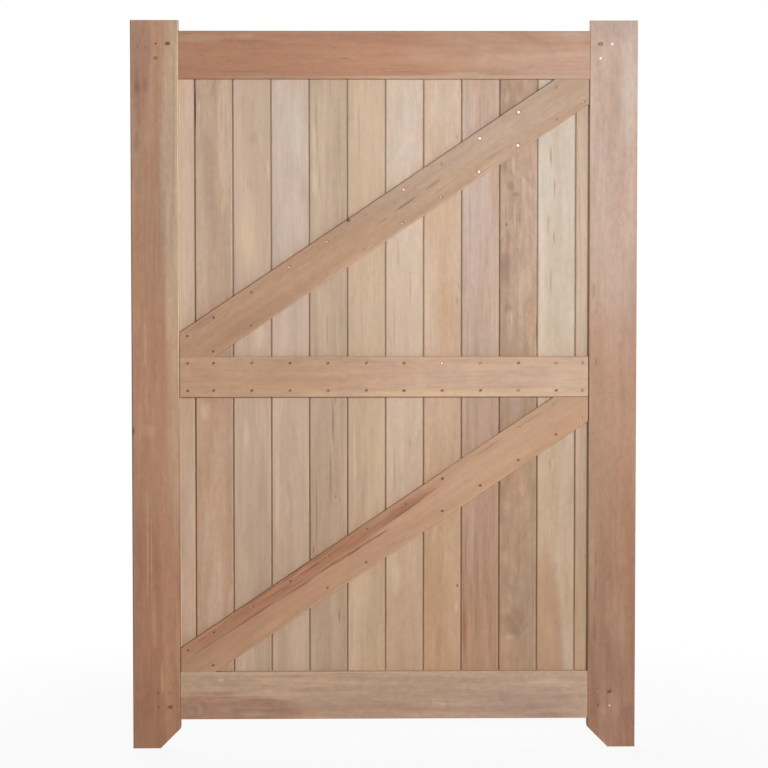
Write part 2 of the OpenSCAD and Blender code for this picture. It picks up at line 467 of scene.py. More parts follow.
# Foot, head and cloud colour of each board; the darker, warmer foot is partly painted shade of the
# light falling off toward the bottom
BOARD_TONES = [
    (tone(184, 154, 130), tone(204, 178, 157), tone(196, 170, 148)),
    (tone(178, 141, 113), tone(183, 155, 133), tone(190, 162, 140)),
    (tone(179, 152, 129), tone(197, 171, 152), tone(190, 166, 144)),
    (tone(182, 153, 129), tone(201, 180, 165), tone(192, 167, 147)),
    (tone(177, 148, 123), tone(193, 169, 147), tone(185, 163, 138)),
    (tone(184, 154, 126), tone(201, 176, 151), tone(199, 171, 143)),
    (tone(186, 155, 128), tone(211, 190, 172), tone(203, 179, 156)),
    (tone(184, 147, 114), tone(208, 184, 164), tone(196, 163, 134)),
    (tone(169, 131, 104), tone(199, 177, 163), tone(184, 151, 129)),
    (tone(172, 137, 110), tone(186, 158, 138), tone(170, 141, 115)),
    (tone(187, 157, 129), tone(211, 196, 180), tone(202, 181, 158)),
    (tone(184, 155, 127), tone(201, 180, 160), tone(190, 166, 143)),
]
# Boards with more or less figure than the rest
BOARD_FIGURE = {
    "board_02": dict(mottle=0.045),
    "board_03": dict(bands=0.04, streaks=0.09, mottle=0.02),
    "board_05": dict(bands=0.06, streaks=0.08, flecks=0.06),
    "board_07": dict(streaks=0.05, mottle=0.04, flecks=0.06),
    "board_08": dict(mottle=0.045, streaks=0.06, flecks=0.06),
    "board_09": dict(bands=0.055, streaks=0.11, rings=0.06, mottle=0.04),
    "board_10": dict(streaks=0.1, rings=0.05, tint=0.08, wander=0.5, clouds=0.9, curls=0.1),
    "board_11": dict(streaks=0.05, mottle=0.04, flecks=0.06),
    "board_12": dict(bands=0.05, streaks=0.1),
}
# Ragged tears in the grain of the lower brace: across, along, width, length, strength
TEARS = [
    (33, 80, 6, 230, 0.5), (34, 160, 6, 120, 0.65), (34, 225, 7, 140, 0.8),
    (38, 320, 8, 130, 0.65), (37, 420, 8, 170, 0.8), (40, 500, 9, 150, 0.85),
    (43, 560, 7, 90, 0.9), (19, 270, 6, 130, 0.6), (6, 330, 8, 90, 0.6), (15, 385, 8, 140, 0.6),
    (5, 420, 8, 100, 0.5), (14, 450, 7, 100, 0.5), (30, 620, 8, 150, 0.6),
    (28, 675, 10, 130, 0.6), (24, 715, 7, 100, 0.5), (18, 655, 10, 34, 0.5),
]
# Marks of each piece, as mark() takes them: colour, across, along, width, length, strength,
# softness, raggedness, and True where one goes right through
MARKS = {
    "hanging_stile": [
        (tone(182, 155, 130), 102, 1440, 66, 1240, 0.8, 0.5, 0.3),
        (tone(182, 156, 130), 86, 1440, 40, 460, 0.5),
        (tone(180, 150, 123), 108, 800, 50, 820, 0.65, 0.6, 0.3),
        # Painted shade on the outer arris, which faces away from the light
        (tone(112, 88, 80), 1, 900, 6, 3400, 0.75, 0.8, 0.2),
        # Painted highlight on the inner arris, which faces the light, and a softer painted
        # highlight spreading from it
        (tone(204, 178, 152), 114, 1450, 16, 1000, 0.5, 0.9, 0.2),
        (tone(226, 200, 170), 117, 1380, 6, 1500, 0.75, 0.6, 0.1, True),
        (tone(170, 138, 116), 60, 1797, 200, 5, 0.5, 0.6, 0.1),
        (tone(150, 116, 96), 24, 1690, 66, 330, 0.8, 0.7, 0.4),
        (RED_BROWN, 26, 1625, 60, 170, 0.35, 1.0),
        (UMBER, 37, 1640, 14, 60, 0.45),
        (tone(170, 127, 97), 92, 330, 52, 900, 0.7, 0.7, 0.3),
        (tone(148, 105, 80), 22, 110, 70, 360, 0.6),
        (UMBER, 17, 1640, 20, 60, 0.5),
        (KNOT, 19, 1735, 5, 13, 0.7),
        (UMBER, 37, 1733, 6, 12, 0.5),
        (UMBER, 14, 1505, 14, 70, 0.45),
        (RUSSET, 40, 1440, 34, 110, 0.6),
        (RUSSET, 26, 1250, 26, 200, 0.45),
        (RUSSET, 70, 990, 28, 330, 0.7),
        (TAN, 34, 1000, 10, 260, 0.4),
        (ROSE, 34, 793, 40, 40, 0.2, 0.5),
        (ROSE, 48, 793, 34, 40, 0.3, 0.5),
        (KNOT, 3, 790, 8, 30, 0.95),
        (RED_BROWN, 14, 420, 34, 500, 0.4),
        (RUSSET, 70, 470, 40, 380, 0.2),
        (tone(150, 118, 88), 11, 430, 18, 700, 0.5),
        (TAN, 38, 520, 8, 460, 0.5),
        (TAN, 47, 480, 6, 300, 0.4),
        (tone(176, 138, 110), 54, 310, 18, 200, 0.4),
        (RED_BROWN, 40, 110, 50, 200, 0.3),
        (RED_BROWN, 50, 225, 24, 110, 0.6),
        (TAN, 72, 170, 12, 120, 0.5),
        (TAN, 112, 250, 16, 300, 0.3),
    ],
    "closing_stile": [
        (PALE_PINK, 102, 1480, 40, 520, 0.4),
        (tone(191, 165, 150), 62, 1210, 180, 620, 0.7, 1.0),
        (tone(206, 190, 172), 100, 1600, 44, 300, 0.5),
        # Painted shade on the inner arris, which faces away from the light
        (UMBER, 0, 900, 4, 3400, 0.5, 0.6, 0.1),
        (tone(142, 102, 80), 112, 60, 40, 220, 0.5, 1.0),
        (GREY_BROWN, 45, 884, 90, 6, 0.3),
        (tone(158, 115, 88), 104, 460, 44, 660, 0.7),
        (tone(166, 132, 104), 11, 560, 24, 700, 0.5),
        (ROSE, 66, 1680, 66, 30, 0.35),
        (PALE_PINK, 96, 1275, 44, 90, 0.25),
        (UMBER, 19, 470, 6, 60, 0.5),
        (UMBER, 27, 112, 10, 34, 0.5),
        (tone(134, 94, 70), 58, 150, 10, 40, 0.4),
        (tone(150, 113, 90), 70, 190, 140, 250, 0.7, 1.0),
        (tone(180, 156, 141), 60, 1785, 200, 110, 0.6),
        (GREY_BROWN, 12, 1136, 10, 60, 0.55),
        (GREY_BROWN, 17, 1084, 7, 14, 0.7),
        (GREY_BROWN, 14, 1030, 7, 60, 0.35),
        (UMBER, 18, 962, 5, 26, 0.7),
        (GREY_BROWN, 75, 1000, 3, 22, 0.5),
        (ROSE, 95, 960, 44, 130, 0.4),
        (BEIGE_BROWN, 13, 770, 22, 280, 0.5),
        (UMBER, 18, 400, 9, 120, 0.5),
        (UMBER, 17, 290, 12, 100, 0.5),
        (GREY_BROWN, 24, 330, 10, 300, 0.4),
        (UMBER, 13, 783, 7, 7, 0.7),
        (GREY_BROWN, 92, 400, 12, 60, 0.3),
        (RED_BROWN, 94, 80, 60, 90, 0.6),
        (tone(148, 108, 88), 60, 40, 110, 120, 0.5),
        (tone(160, 118, 90), 90, 560, 70, 700, 0.4, 1.0),
        (tone(148, 106, 82), 108, 280, 46, 620, 0.6, 1.0),
        (tone(132, 100, 92), 106, 88, 36, 90, 0.5, 1.0),
        (tone(134, 98, 74), 12, 92, 34, 30, 0.3, 1.0),
        (UMBER, 87, 116, 6, 28, 0.5),
        (UMBER, 87, 84, 5, 56, 0.3),
        (KNOT, 113, 134, 6, 9, 0.5),
    ],
    "top_rail": [
        (tone(158, 115, 92), 12, 450, 40, 860, 0.6, 1.0),
        (tone(200, 170, 154), 10, 1060, 50, 240, 0.6, 1.0),
        (tone(174, 140, 111), 17, 130, 30, 190, 0.8, 0.7, 0.6),
        (tone(174, 140, 114), 13, 250, 18, 120, 0.6, 0.8, 0.5),
        (tone(156, 114, 88), 23, 213, 12, 44, 0.5),
        (tone(152, 108, 82), 28, 270, 16, 150, 0.5),
        (tone(156, 112, 88), 34, 390, 30, 240, 0.35, 1.0),
        (tone(168, 138, 112), 114, 330, 11, 420, 0.7, 0.6, 0.3),
        (UMBER, 8, 112, 3, 50, 0.5),
        (RED_BROWN, 25, 240, 7, 150, 0.7),
        (tone(160, 113, 86), 48, 330, 34, 480, 0.4, 0.9),
        (RED_BROWN, 44, 260, 4, 170, 0.45),
        (RED_BROWN, 56, 290, 3, 160, 0.4),
        (RED_BROWN, 100, 240, 5, 190, 0.6),
        (RED_BROWN, 67, 500, 6, 34, 0.7),
        (tone(212, 178, 152), 106, 800, 20, 180, 0.4),
        (tone(180, 136, 100), 56, 470, 24, 130, 0.5),
        (tone(164, 122, 98), 36, 500, 40, 700, 0.5, 1.0),
        (tone(180, 142, 114), 40, 772, 100, 30, 0.5, 1.0),
        (tone(196, 160, 134), 55, 840, 100, 60, 0.4, 1.0),
        (tone(194, 162, 138), 113, 840, 14, 960, 0.9, 0.5, 0.3),
        (tone(166, 138, 126), 2, 560, 9, 1300, 0.6),
        (RED_BROWN, 100, 640, 4, 150, 0.4),
        (ROSE, 60, 690, 60, 150, 0.4),
    ],
    "bottom_rail": [
        (tone(164, 134, 110), 62, 700, 50, 900, 0.5, 0.9),
        (tone(162, 127, 104), 55, 150, 22, 270, 0.7, 0.7, 0.6),
        (tone(156, 118, 98), 106, 190, 106, 520, 0.85, 0.45, 0.35),
        (tone(156, 118, 98), 66, 115, 22, 130, 0.7, 0.7, 0.5),
        (tone(158, 128, 106), 42, 420, 30, 800, 0.35, 0.9),
        (tone(150, 114, 94), 52, 170, 12, 190, 0.5),
        (tone(146, 108, 88), 74, 300, 24, 150, 0.5),
        (tone(146, 108, 90), 64, 190, 8, 200, 0.5),
        (tone(174, 142, 118), 94, 200, 22, 50, 0.5),
        (tone(146, 109, 92), 92, 130, 58, 72, 0.6, 0.5, 0.3),
        (tone(172, 134, 114), 93, 126, 44, 54, 0.7, 0.4, 0.3),
        (tone(150, 113, 96), 95, 121, 31, 38, 0.8, 0.5, 0.3),
        (tone(170, 132, 110), 98, 116, 18, 24, 0.7, 0.7, 0.3),
        (tone(172, 138, 114), 104, 272, 24, 84, 0.6, 0.6, 0.4),
        (tone(148, 112, 93), 92, 330, 24, 80, 0.5),
        (tone(160, 124, 104), 44, 335, 6, 26, 0.5),
        (tone(152, 114, 93), 69, 285, 10, 150, 0.6, 0.8, 0.5),
        (tone(164, 136, 122), 64, 1045, 80, 220, 0.5, 1.0),
        (tone(190, 158, 132), 20, 310, 8, 70, 0.5),
        (tone(188, 158, 132), 8, 560, 20, 520, 0.5),
        (tone(158, 124, 107), 90, 620, 34, 1200, 0.5, 1.0),
        (RED_BROWN, 78, 120, 5, 90, 0.35),
        (RED_BROWN, 62, 250, 5, 240, 0.4),
        (tone(178, 132, 110), 109, 430, 10, 300, 0.5),
        (CREAM, 20, 190, 14, 20, 0.4),
        (UMBER, 10, 380, 4, 44, 0.6),
        (UMBER, 13, 500, 3, 130, 0.35),
        (tone(168, 142, 123), 48, 680, 56, 340, 0.6),
        (tone(168, 140, 124), 60, 880, 60, 300, 0.5),
        (tone(163, 133, 120), 82, 940, 76, 460, 0.6),
        (tone(152, 122, 110), 58, 886, 44, 26, 0.45, 0.9, 0.9),
        (tone(154, 126, 110), 45, 803, 10, 18, 0.4),
        # Painted light on the upper arris and top face
        (tone(226, 198, 170), 0, 560, 5, 3000, 0.6, 0.6, 0.1, True),
        (tone(150, 118, 104), 110, 1010, 20, 200, 0.6),
        (tone(160, 132, 116), 45, 1010, 24, 160, 0.6),
        (tone(160, 122, 98), 65, 150, 20, 130, 0.5),
        (tone(198, 168, 144), 5, 725, 12, 160, 0.6),
        (tone(196, 166, 142), 5, 300, 12, 460, 0.5),
        (tone(186, 158, 138), 84, 750, 20, 260, 0.6),
        (UMBER, 76, 580, 4, 40, 0.4),
        (UMBER, 74, 740, 3, 100, 0.35),
        (GREY_BROWN, 38, 600, 4, 300, 0.3),
    ],
    "middle_ledge": [
        (tone(172, 134, 108), 20, 60, 80, 150, 0.4, 1.0),
        (ROSE, 34, 75, 44, 50, 0.4),
        (BEIGE_BROWN, 48, 220, 36, 260, 0.4),
        (tone(178, 142, 108), 58, 340, 60, 420, 0.35, 1.0),
        (tone(212, 180, 146), 90, 720, 34, 760, 0.8),
        # Painted light on the upper arris and top face
        (tone(236, 210, 180), 0, 504, 4, 3000, 0.6, 0.5, 0.1, True),
        (tone(208, 176, 150), 50, 590, 100, 36, 0.4, 1.0),
        (tone(210, 178, 152), 44, 725, 100, 70, 0.4, 1.0),
        (tone(212, 182, 160), 50, 940, 100, 100, 0.5, 1.0),
        (tone(178, 142, 114), 30, 240, 50, 180, 0.4),
        (tone(196, 160, 134), 60, 470, 60, 50, 0.3, 1.0),
        (tone(222, 192, 164), 82, 900, 18, 160, 0.6),
        (tone(202, 166, 132), 13, 352, 18, 140, 0.5),
        (tone(206, 170, 138), 92, 352, 18, 140, 0.5),
        (tone(168, 130, 102), 42, 70, 44, 110, 0.5),
        # Painted shade on the lower arris, under the ledge
        (tone(124, 94, 74), 100, 504, 5, 3000, 0.6, 0.5, 0.1, True),
        (ROSE, 54, 790, 20, 20, 0.5),
    ],
    "upper_brace": [
        (tone(172, 142, 118), 12, 1010, 34, 360, 0.5, 1.0),
        (UMBER, 52, 570, 9, 60, 0.55),
        (UMBER, 49, 640, 8, 100, 0.8),
        (UMBER, 47, 724, 8, 60, 0.6),
        (GREY_BROWN, 47, 235, 7, 40, 0.4),
        (tone(150, 116, 90), 12, 60, 26, 120, 0.5),
        (tone(206, 174, 148), 86, 860, 22, 170, 0.4),
        (ROSE, 42, 412, 7, 24, 0.6),
        (GREY_BROWN, 70, 880, 9, 70, 0.5),
        (GREY_BROWN, 66, 760, 4, 120, 0.3),
        (TAN, 88, 450, 16, 320, 0.5),
        (tone(190, 154, 121), 60, 430, 90, 640, 0.6, 1.0),
        (KNOT, 3, 500, 14, 14, 0.9),
        (TAN, 60, 740, 50, 160, 0.3),
        # Painted light on the lower arris
        (tone(200, 174, 154), 96, 620, 6, 1300, 0.6, 0.6, 0.3),
        # Painted light on the upper arris toward the right end
        (tone(222, 196, 170), 0, 760, 3, 620, 0.5, 0.8, 0.1, True),
    ],
    "lower_brace": [
        (tone(159, 112, 83), 16, 330, 50, 940, 0.85, 0.5, 0.5),
        (tone(148, 100, 70), 24, 650, 24, 220, 0.6, 0.8, 0.8),
        (tone(190, 140, 117), 9, 350, 8, 150, 0.6, 0.9, 2),
        (tone(184, 136, 110), 12, 235, 10, 130, 0.45, 0.9, 2),
        (tone(184, 136, 110), 25, 190, 8, 170, 0.4, 0.9, 2),
        (tone(186, 138, 112), 25, 330, 7, 100, 0.4, 0.9, 2),
        (tone(188, 142, 116), 10, 585, 18, 130, 0.45, 0.9, 2),
        (tone(188, 140, 116), 6, 100, 8, 90, 0.35, 0.9, 2),
        *[(TEAR, *tear, 0.9, 2) for tear in TEARS],
        (TEAR, 22, 300, 5, 44, 0.6),
        (TEAR, 1, 345, 4, 90, 0.6, 0.8, 1),
        (TEAR, 12, 60, 4, 40, 0.4, 0.8, 1),
        (TEAR, 27, 300, 4, 50, 0.5, 0.8, 2),
        (TEAR, 3, 240, 6, 140, 0.6),
        (TEAR, 28, 330, 5, 60, 0.5, 0.8, 2),
        (tone(148, 102, 76), 12, 200, 26, 140, 0.5),
        (tone(156, 104, 72), 26, 520, 26, 140, 0.5),
        (tone(158, 106, 74), 12, 650, 22, 140, 0.4),
        (UMBER, 13, 548, 9, 14, 0.7),
        (UMBER, 14, 660, 8, 16, 0.6),
        (KNOT, 13, 773, 9, 12, 0.9),
        (ROSE, 14, 915, 5, 70, 0.3),
        (UMBER, 14, 915, 9, 110, 0.4),
        (UMBER, 14, 1040, 8, 110, 0.25),
        (TAN, 82, 220, 30, 170, 0.4),
        (tone(182, 142, 114), 78, 60, 50, 200, 0.5, 0.8),
        # Painted light on the lower arris
        (tone(196, 160, 132), 96, 600, 6, 1300, 0.5, 0.6, 0.3),
        (tone(176, 136, 106), 78, 660, 56, 460, 0.5, 1.0),
        # Painted light on the upper arris toward the right end
        (tone(236, 214, 190), 0, 960, 4, 600, 0.8, 0.8, 0.1, True),
    ],
    "board_01": [
        # Painted light along the left edge, in the corner beside the stile
        (CREAM, 11, 740, 5, 3000, 0.6, 0.6, 0.1),
        (TAN, 18, 1440, 24, 90, 0.35),
        (PALE_PINK, 22, 1120, 12, 620, 0.5),
        (TAN, 40, 200, 12, 300, 0.5),
        (tone(180, 146, 118), 30, 700, 140, 640, 0.6, 1.0),
        (PALE_PINK, 14, 220, 12, 170, 0.45),
        (ROSE, 33, 250, 6, 300, 0.6),
    ],
    "board_02": [
        (tone(200, 173, 149), 74, 1350, 42, 460, 0.9, 0.5, 0.4),
        (MAUVE, 10, 1420, 18, 130, 0.6),
        (STRAW, 11, 1412, 8, 46, 0.4),
        (GREY_BROWN, 50, 1440, 5, 90, 0.5),
        (CREAM, 60, 1390, 5, 130, 0.5),
        (UMBER, 46, 1456, 3, 44, 0.4),
        (GREY_BROWN, 66, 1400, 3, 150, 0.45),
        (GREY_BROWN, 77, 1370, 3, 170, 0.4),
        # Painted highlight on the right bevel, which faces the light
        (CREAM, 90, 1140, 5, 520, 0.5, 0.6, 0.1),
        # Painted shade of the open gap between the first two boards
        (GAP_SHADE, 2, 1405, 5, 190, 0.95, 0.7, 0.2),
        (GREY_BROWN, 36, 1250, 40, 330, 0.3),
        (GREY_BROWN, 50, 1120, 40, 200, 0.25),
        (GREY_BROWN, 24, 1330, 4, 120, 0.3),
        (GREY_GREEN, 12, 1240, 14, 140, 0.5),
        (STRAW, 69, 1165, 11, 70, 0.6),
        (tone(174, 136, 106), 47, 720, 160, 640, 0.6, 1.0),
        (CREAM, 24, 660, 38, 70, 0.3),
        (RUSSET, 52, 625, 26, 60, 0.35),
        (RUSSET, 28, 510, 24, 150, 0.4),
        (GREY_BROWN, 8, 515, 4, 100, 0.5),
        (STRAW, 58, 270, 16, 140, 0.3),
    ],
    "board_03": [
        (BEIGE_BROWN, 50, 1335, 30, 70, 0.4, 1.0, 0.8),
        (CREAM, 86, 1255, 8, 60, 0.5),
        (tone(206, 178, 147), 38, 1080, 66, 280, 0.7, 1.0),
        (GREY_GREEN, 43, 1010, 6, 150, 0.6),
        (CREAM, 76, 980, 24, 90, 0.4),
        (TAN, 11, 665, 12, 56, 0.5),
        (CREAM, 31, 605, 20, 110, 0.4),
        (GREY_GREEN, 54, 470, 22, 340, 0.5),
        (GREY_BROWN, 44, 1225, 5, 70, 0.3),
        (tone(200, 184, 162), 66, 850, 50, 120, 0.6),
        (GREY_GREEN, 38, 845, 8, 90, 0.6),
    ],
    "board_04": [
        (tone(203, 187, 168), 58, 1360, 60, 240, 0.8, 0.6),
        (PALE_PINK, 14, 1455, 26, 50, 0.5),
        (PALE_PINK, 20, 1320, 30, 110, 0.6),
        (GREY_GREEN, 30, 1400, 28, 44, 0.4),
        (tone(207, 176, 166), 38, 1170, 56, 150, 0.6),
        (MAUVE, 78, 1200, 22, 110, 0.4),
        (CREAM, 14, 440, 12, 320, 0.35),
        (MAUVE, 45, 450, 8, 60, 0.7),
        (tone(190, 172, 156), 18, 470, 22, 200, 0.5),
        (PALE_PINK, 40, 420, 14, 90, 0.4),
        (GREY_GREEN, 52, 600, 6, 180, 0.4),
    ],
    "board_05": [
        (PALE_PINK, 12, 1330, 12, 110, 0.4),
        (UMBER, 17, 1390, 6, 120, 0.35),
        (UMBER, 20, 1320, 6, 120, 0.3),
        (GREY_BROWN, 25, 1240, 6, 110, 0.4),
        (GREY_GREEN, 46, 1410, 40, 100, 0.5),
        (CREAM, 14, 1220, 20, 90, 0.5),
        (GREY_BROWN, 72, 1160, 3, 110, 0.5),
        (GREY_BROWN, 60, 1210, 3, 70, 0.4),
        (GREY_BROWN, 44, 860, 6, 110, 0.5),
        (GREY_BROWN, 80, 890, 4, 80, 0.5),
        (UMBER, 65, 684, 4, 24, 0.6),
        (UMBER, 58, 630, 8, 150, 0.5),
        (UMBER, 52, 500, 7, 190, 0.5),
        (UMBER, 65, 445, 6, 10, 0.7),
        (UMBER, 17, 410, 7, 220, 0.45),
        (UMBER, 10, 312, 7, 26, 0.6),
        (UMBER, 73, 148, 7, 50, 0.6),
    ],
    "board_06": [
        (GREY_BROWN, 29, 1350, 5, 260, 0.35),
        (PALE_PINK, 20, 1400, 12, 160, 0.5),
        (GREY_BROWN, 58, 1220, 3, 100, 0.35),
        (GREY_GREEN, 34, 1210, 3, 110, 0.5),
        (TAN, 48, 960, 22, 90, 0.25),
        (GREY_GREEN, 68, 900, 14, 260, 0.5),
        (CREAM, 18, 520, 10, 340, 0.5),
        (STRAW, 54, 500, 12, 380, 0.5),
        (BEIGE_BROWN, 38, 440, 14, 160, 0.4),
        (RUSSET, 10, 120, 14, 200, 0.3),
    ],
    "board_07": [
        (GREY_GREEN, 36, 1410, 26, 130, 0.25),
        (PALE_PINK, 80, 1330, 26, 180, 0.5),
        (GREY_BROWN, 31, 1040, 8, 120, 0.4),
        (GREY_BROWN, 61, 960, 5, 150, 0.5),
        (GREY_BROWN, 22, 860, 6, 150, 0.4),
        (GREY_BROWN, 23, 520, 7, 190, 0.4),
        (GREY_BROWN, 62, 580, 8, 50, 0.3),
        (tone(190, 162, 140), 47, 880, 150, 460, 0.35, 1.0),
        (CREAM, 26, 250, 30, 130, 0.4),
    ],
    "board_08": [
        (GREY_GREEN, 18, 1350, 22, 130, 0.3),
        (tone(210, 190, 172), 47, 1420, 140, 280, 0.5, 1.0),
        (UMBER, 83, 1335, 4, 16, 0.6),
        (GREY_BROWN, 85, 1440, 4, 30, 0.4),
        (UMBER, 87, 970, 4, 18, 0.5),
        (GREY_BROWN, 84, 930, 14, 36, 0.5),
        (tone(196, 164, 136), 47, 1060, 120, 460, 0.5, 0.9),
        (tone(188, 152, 122), 55, 890, 110, 340, 0.7, 1.0),
        (KNOT, 85, 222, 6, 15, 0.85),
        (UMBER, 86, 252, 3, 6, 0.6),
        (STRAW, 83, 170, 10, 44, 0.6),
        (RUSSET, 38, 80, 26, 90, 0.4),
        (GREY_BROWN, 48, 300, 4, 60, 0.4),
        (GREY_BROWN, 42, 250, 3, 80, 0.3),
    ],
    "board_09": [
        (tone(188, 160, 142), 52, 830, 90, 360, 0.4),
        (MAUVE, 28, 1410, 6, 120, 0.6),
        (MAUVE, 20, 1110, 12, 260, 0.6),
        (tone(188, 160, 150), 40, 1100, 90, 500, 0.3),
        (GREY_BROWN, 50, 930, 4, 140, 0.4),
        (GREY_BROWN, 62, 890, 3, 100, 0.4),
        (GREY_BROWN, 78, 960, 4, 90, 0.4),
        (GREY_BROWN, 15, 860, 5, 110, 0.4),
        (RED_BROWN, 16, 620, 8, 150, 0.4),
        (tone(158, 124, 112), 16, 365, 10, 90, 0.6),
        (tone(156, 108, 78), 9, 110, 15, 200, 0.9),
        (TEAR, 12, 300, 4, 200, 0.5),
        (TEAR, 6, 200, 3, 260, 0.5),
        (RED_BROWN, 41, 230, 5, 220, 0.45),
        (TEAR, 37, 130, 3, 160, 0.3),
        (RED_BROWN, 73, 125, 4, 56, 0.5),
        (RED_BROWN, 26, 170, 4, 220, 0.35),
        (tone(186, 150, 128), 62, 960, 70, 320, 0.4),
        (TAN, 50, 220, 4, 160, 0.3),
    ],
    "board_10": [
        (PALE_PINK, 18, 1430, 20, 60, 0.5),
        (GREY_BROWN, 8, 1425, 4, 20, 0.7),
        (RUSSET, 50, 1455, 30, 60, 0.4),
        (BEIGE_BROWN, 10, 1290, 14, 120, 0.6),
        (GREY_BROWN, 14, 1262, 5, 50, 0.7),
        (CREAM, 34, 1262, 12, 60, 0.6),
        (GREY_BROWN, 26, 1215, 28, 36, 0.65),
        (GREY_BROWN, 40, 1194, 28, 16, 0.65),
        (CREAM, 60, 1215, 20, 60, 0.4),
        (UMBER, 15, 1150, 3, 60, 0.5),
        (UMBER, 17, 1119, 8, 13, 0.8),
        (GREY_BROWN, 22, 1080, 14, 90, 0.6),
        (CREAM, 38, 1140, 8, 100, 0.5),
        (GREY_BROWN, 50, 1150, 10, 110, 0.5),
        (UMBER, 46, 1057, 5, 6, 0.8),
        (tone(160, 126, 112), 16, 1010, 34, 140, 0.8),
        (UMBER, 6, 1000, 4, 120, 0.4),
        (PALE_PINK, 48, 970, 30, 90, 0.3),
        (GREY_BROWN, 22, 912, 34, 34, 0.6),
        (CREAM, 30, 880, 8, 60, 0.4),
        (tone(180, 144, 114), 76, 900, 34, 150, 0.7),
        (KNOT, 92, 860, 6, 100, 0.8),
        (MAUVE, 44, 670, 34, 60, 0.6),
        (GREY_BROWN, 24, 480, 30, 60, 0.5),
        (GREY_BROWN, 30, 400, 20, 130, 0.4),
        (PALE_PINK, 56, 475, 26, 140, 0.2),
        (tone(174, 140, 114), 47, 420, 120, 520, 0.65, 1.0),
        (ROSE, 70, 400, 20, 120, 0.5),
        (tone(158, 124, 100), 40, 128, 62, 92, 0.85, 0.5, 0.5),
        (ROSE, 28, 92, 34, 20, 0.6),
        (RUSSET, 89, 130, 8, 50, 0.6),
        (GREY_BROWN, 50, 260, 10, 90, 0.5),
    ],
    "board_11": [
        (tone(186, 156, 127), 24, 440, 130, 460, 0.75, 1.0),
        (tone(184, 157, 124), 74, 230, 90, 420, 0.5, 1.0),
        (tone(178, 141, 111), 20, -40, 114, 820, 0.85, 0.3, 0.12),
        (BEIGE_BROWN, 33, 1290, 9, 70, 0.7),
        (BEIGE_BROWN, 42, 1212, 7, 70, 0.7),
        (BEIGE_BROWN, 27, 1120, 8, 90, 0.5),
        (BEIGE_BROWN, 41, 1090, 6, 56, 0.7),
        (BEIGE_BROWN, 33, 975, 7, 100, 0.6),
        (GREY_GREEN, 34, 850, 50, 130, 0.3),
        (PALE_PINK, 14, 960, 20, 90, 0.5),
        (GREY_BROWN, 32, 530, 5, 50, 0.3),
        (CREAM, 40, 520, 6, 40, 0.5),
        (TAN, 30, 110, 30, 120, 0.4),
    ],
    "board_12": [
        (BEIGE_BROWN, 11, 1180, 4, 170, 0.6),
        (TAN, 8, 1130, 4, 160, 0.4),
        (GREY_GREEN, 15, 850, 5, 130, 0.5),
        (GREY_GREEN, 12, 420, 5, 200, 0.4),
    ],
}
BOARD_MIDDLE = 740
WHOLE_LENGTH = 3000
FIRST_SEED, SEED_STEP = 0.17, 0.41


def joint_marks(board):
    """Painted highlight on a board's right bevel, which faces the light, and painted shade in the
    bevel on its left, beside the board before it.
    """
    left, right = [(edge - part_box(board)[0].x) / MM for edge in face_span(board)]
    # Painted highlight on the right bevel, which faces the light
    marks = [mark(CREAM, right - 2, BOARD_MIDDLE, 5, WHOLE_LENGTH, 0.4, 0.6, 0.2, deep=True)]
    if board != BOARDS[0]:
        # Painted shade in the bevel on the left, darkest in the joint beside the first board
        bevel_shade = 0.7 if board == BOARDS[1] else 0.35
        marks.append(mark(KNOT, left + 1, BOARD_MIDDLE, 4, WHOLE_LENGTH, bevel_shade, 0.6, 0.2, deep=True))
        # The painted shade is browner in the lower half
        marks.append(mark(WARM_SHADE, left + 1, 400, 4, 1000, 0.35, 0.6, 0.2, deep=True))
    return marks


def paint(node, material):
    """Gives a CAD node its finish."""
    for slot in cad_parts[node].material_slots:
        slot.material = material


def finish_timber():
    """Makes a material for each piece of timber and puts it on."""
    looks = dict(FRAME_LOOKS)
    for n, (board, (foot, head, second)) in enumerate(zip(BOARDS, BOARD_TONES)):
        looks[board] = dict(foot=foot, head=head, second=second, seed=FIRST_SEED + SEED_STEP * n,
                            **BOARD_FIGURE.get(board, {}))
    for name, look in looks.items():
        marks = [mark(*values) for values in MARKS[name]]
        if name in BOARDS:
            marks += joint_marks(name)
        paint(name, timber(name + "_timber", *seat(name), marks=marks, **look))


# ---- nails and pins --------------------------------------------------

# Nails along each piece: millimetres from its upper edge, then for each nail millimetres
# from its left end and a letter for its head: d dull, m less so, p pale, b bright and B
# larger, f faint. The dull heads are dark partly from tarnish and partly as painted shade
# of the punched hole; the pale and bright heads are painted glints.
NAILS = {
    "middle_ledge": [
        (15.5, "18d 82d 176m 270d 364m 459m 552m 646b 741f 835m 929f 994f"),
        (83.5, "18d 82d 176d 270m 364m 459m 552d 646m 741m 835f 929m 994f"),
    ],
    "upper_brace": [
        (17, "11d 90d 202m 315p 427p 544f 655b 768f 881B 996B 1108f"),
        (84, "42d 154m 268f 382f 493f 606p 721p 834B 949B 1065f 1142p"),
    ],
    "lower_brace": [
        (14, "11d 90d 205m 318d 432m 547m 660m 773d 886f 1004f 1106f"),
        (80, "42d 157f 271f 385m 500m 613f 728d 841d 954m 1067m 1142p"),
    ],
}
# Pins through each corner of the frame, row by row from the top left, with h for one
# hidden by filler; the second word has an x where the timber round the pin is bruised
# dark and an o where it is paler.
PINS = {
    "top_hanging_pins": ("ddmf", "-xo-"),
    "top_closing_pins": ("fbbh", "o---"),
    "bottom_hanging_pins": ("dfdd", "-o-x"),
    "bottom_closing_pins": ("fddp", "-x--"),
}
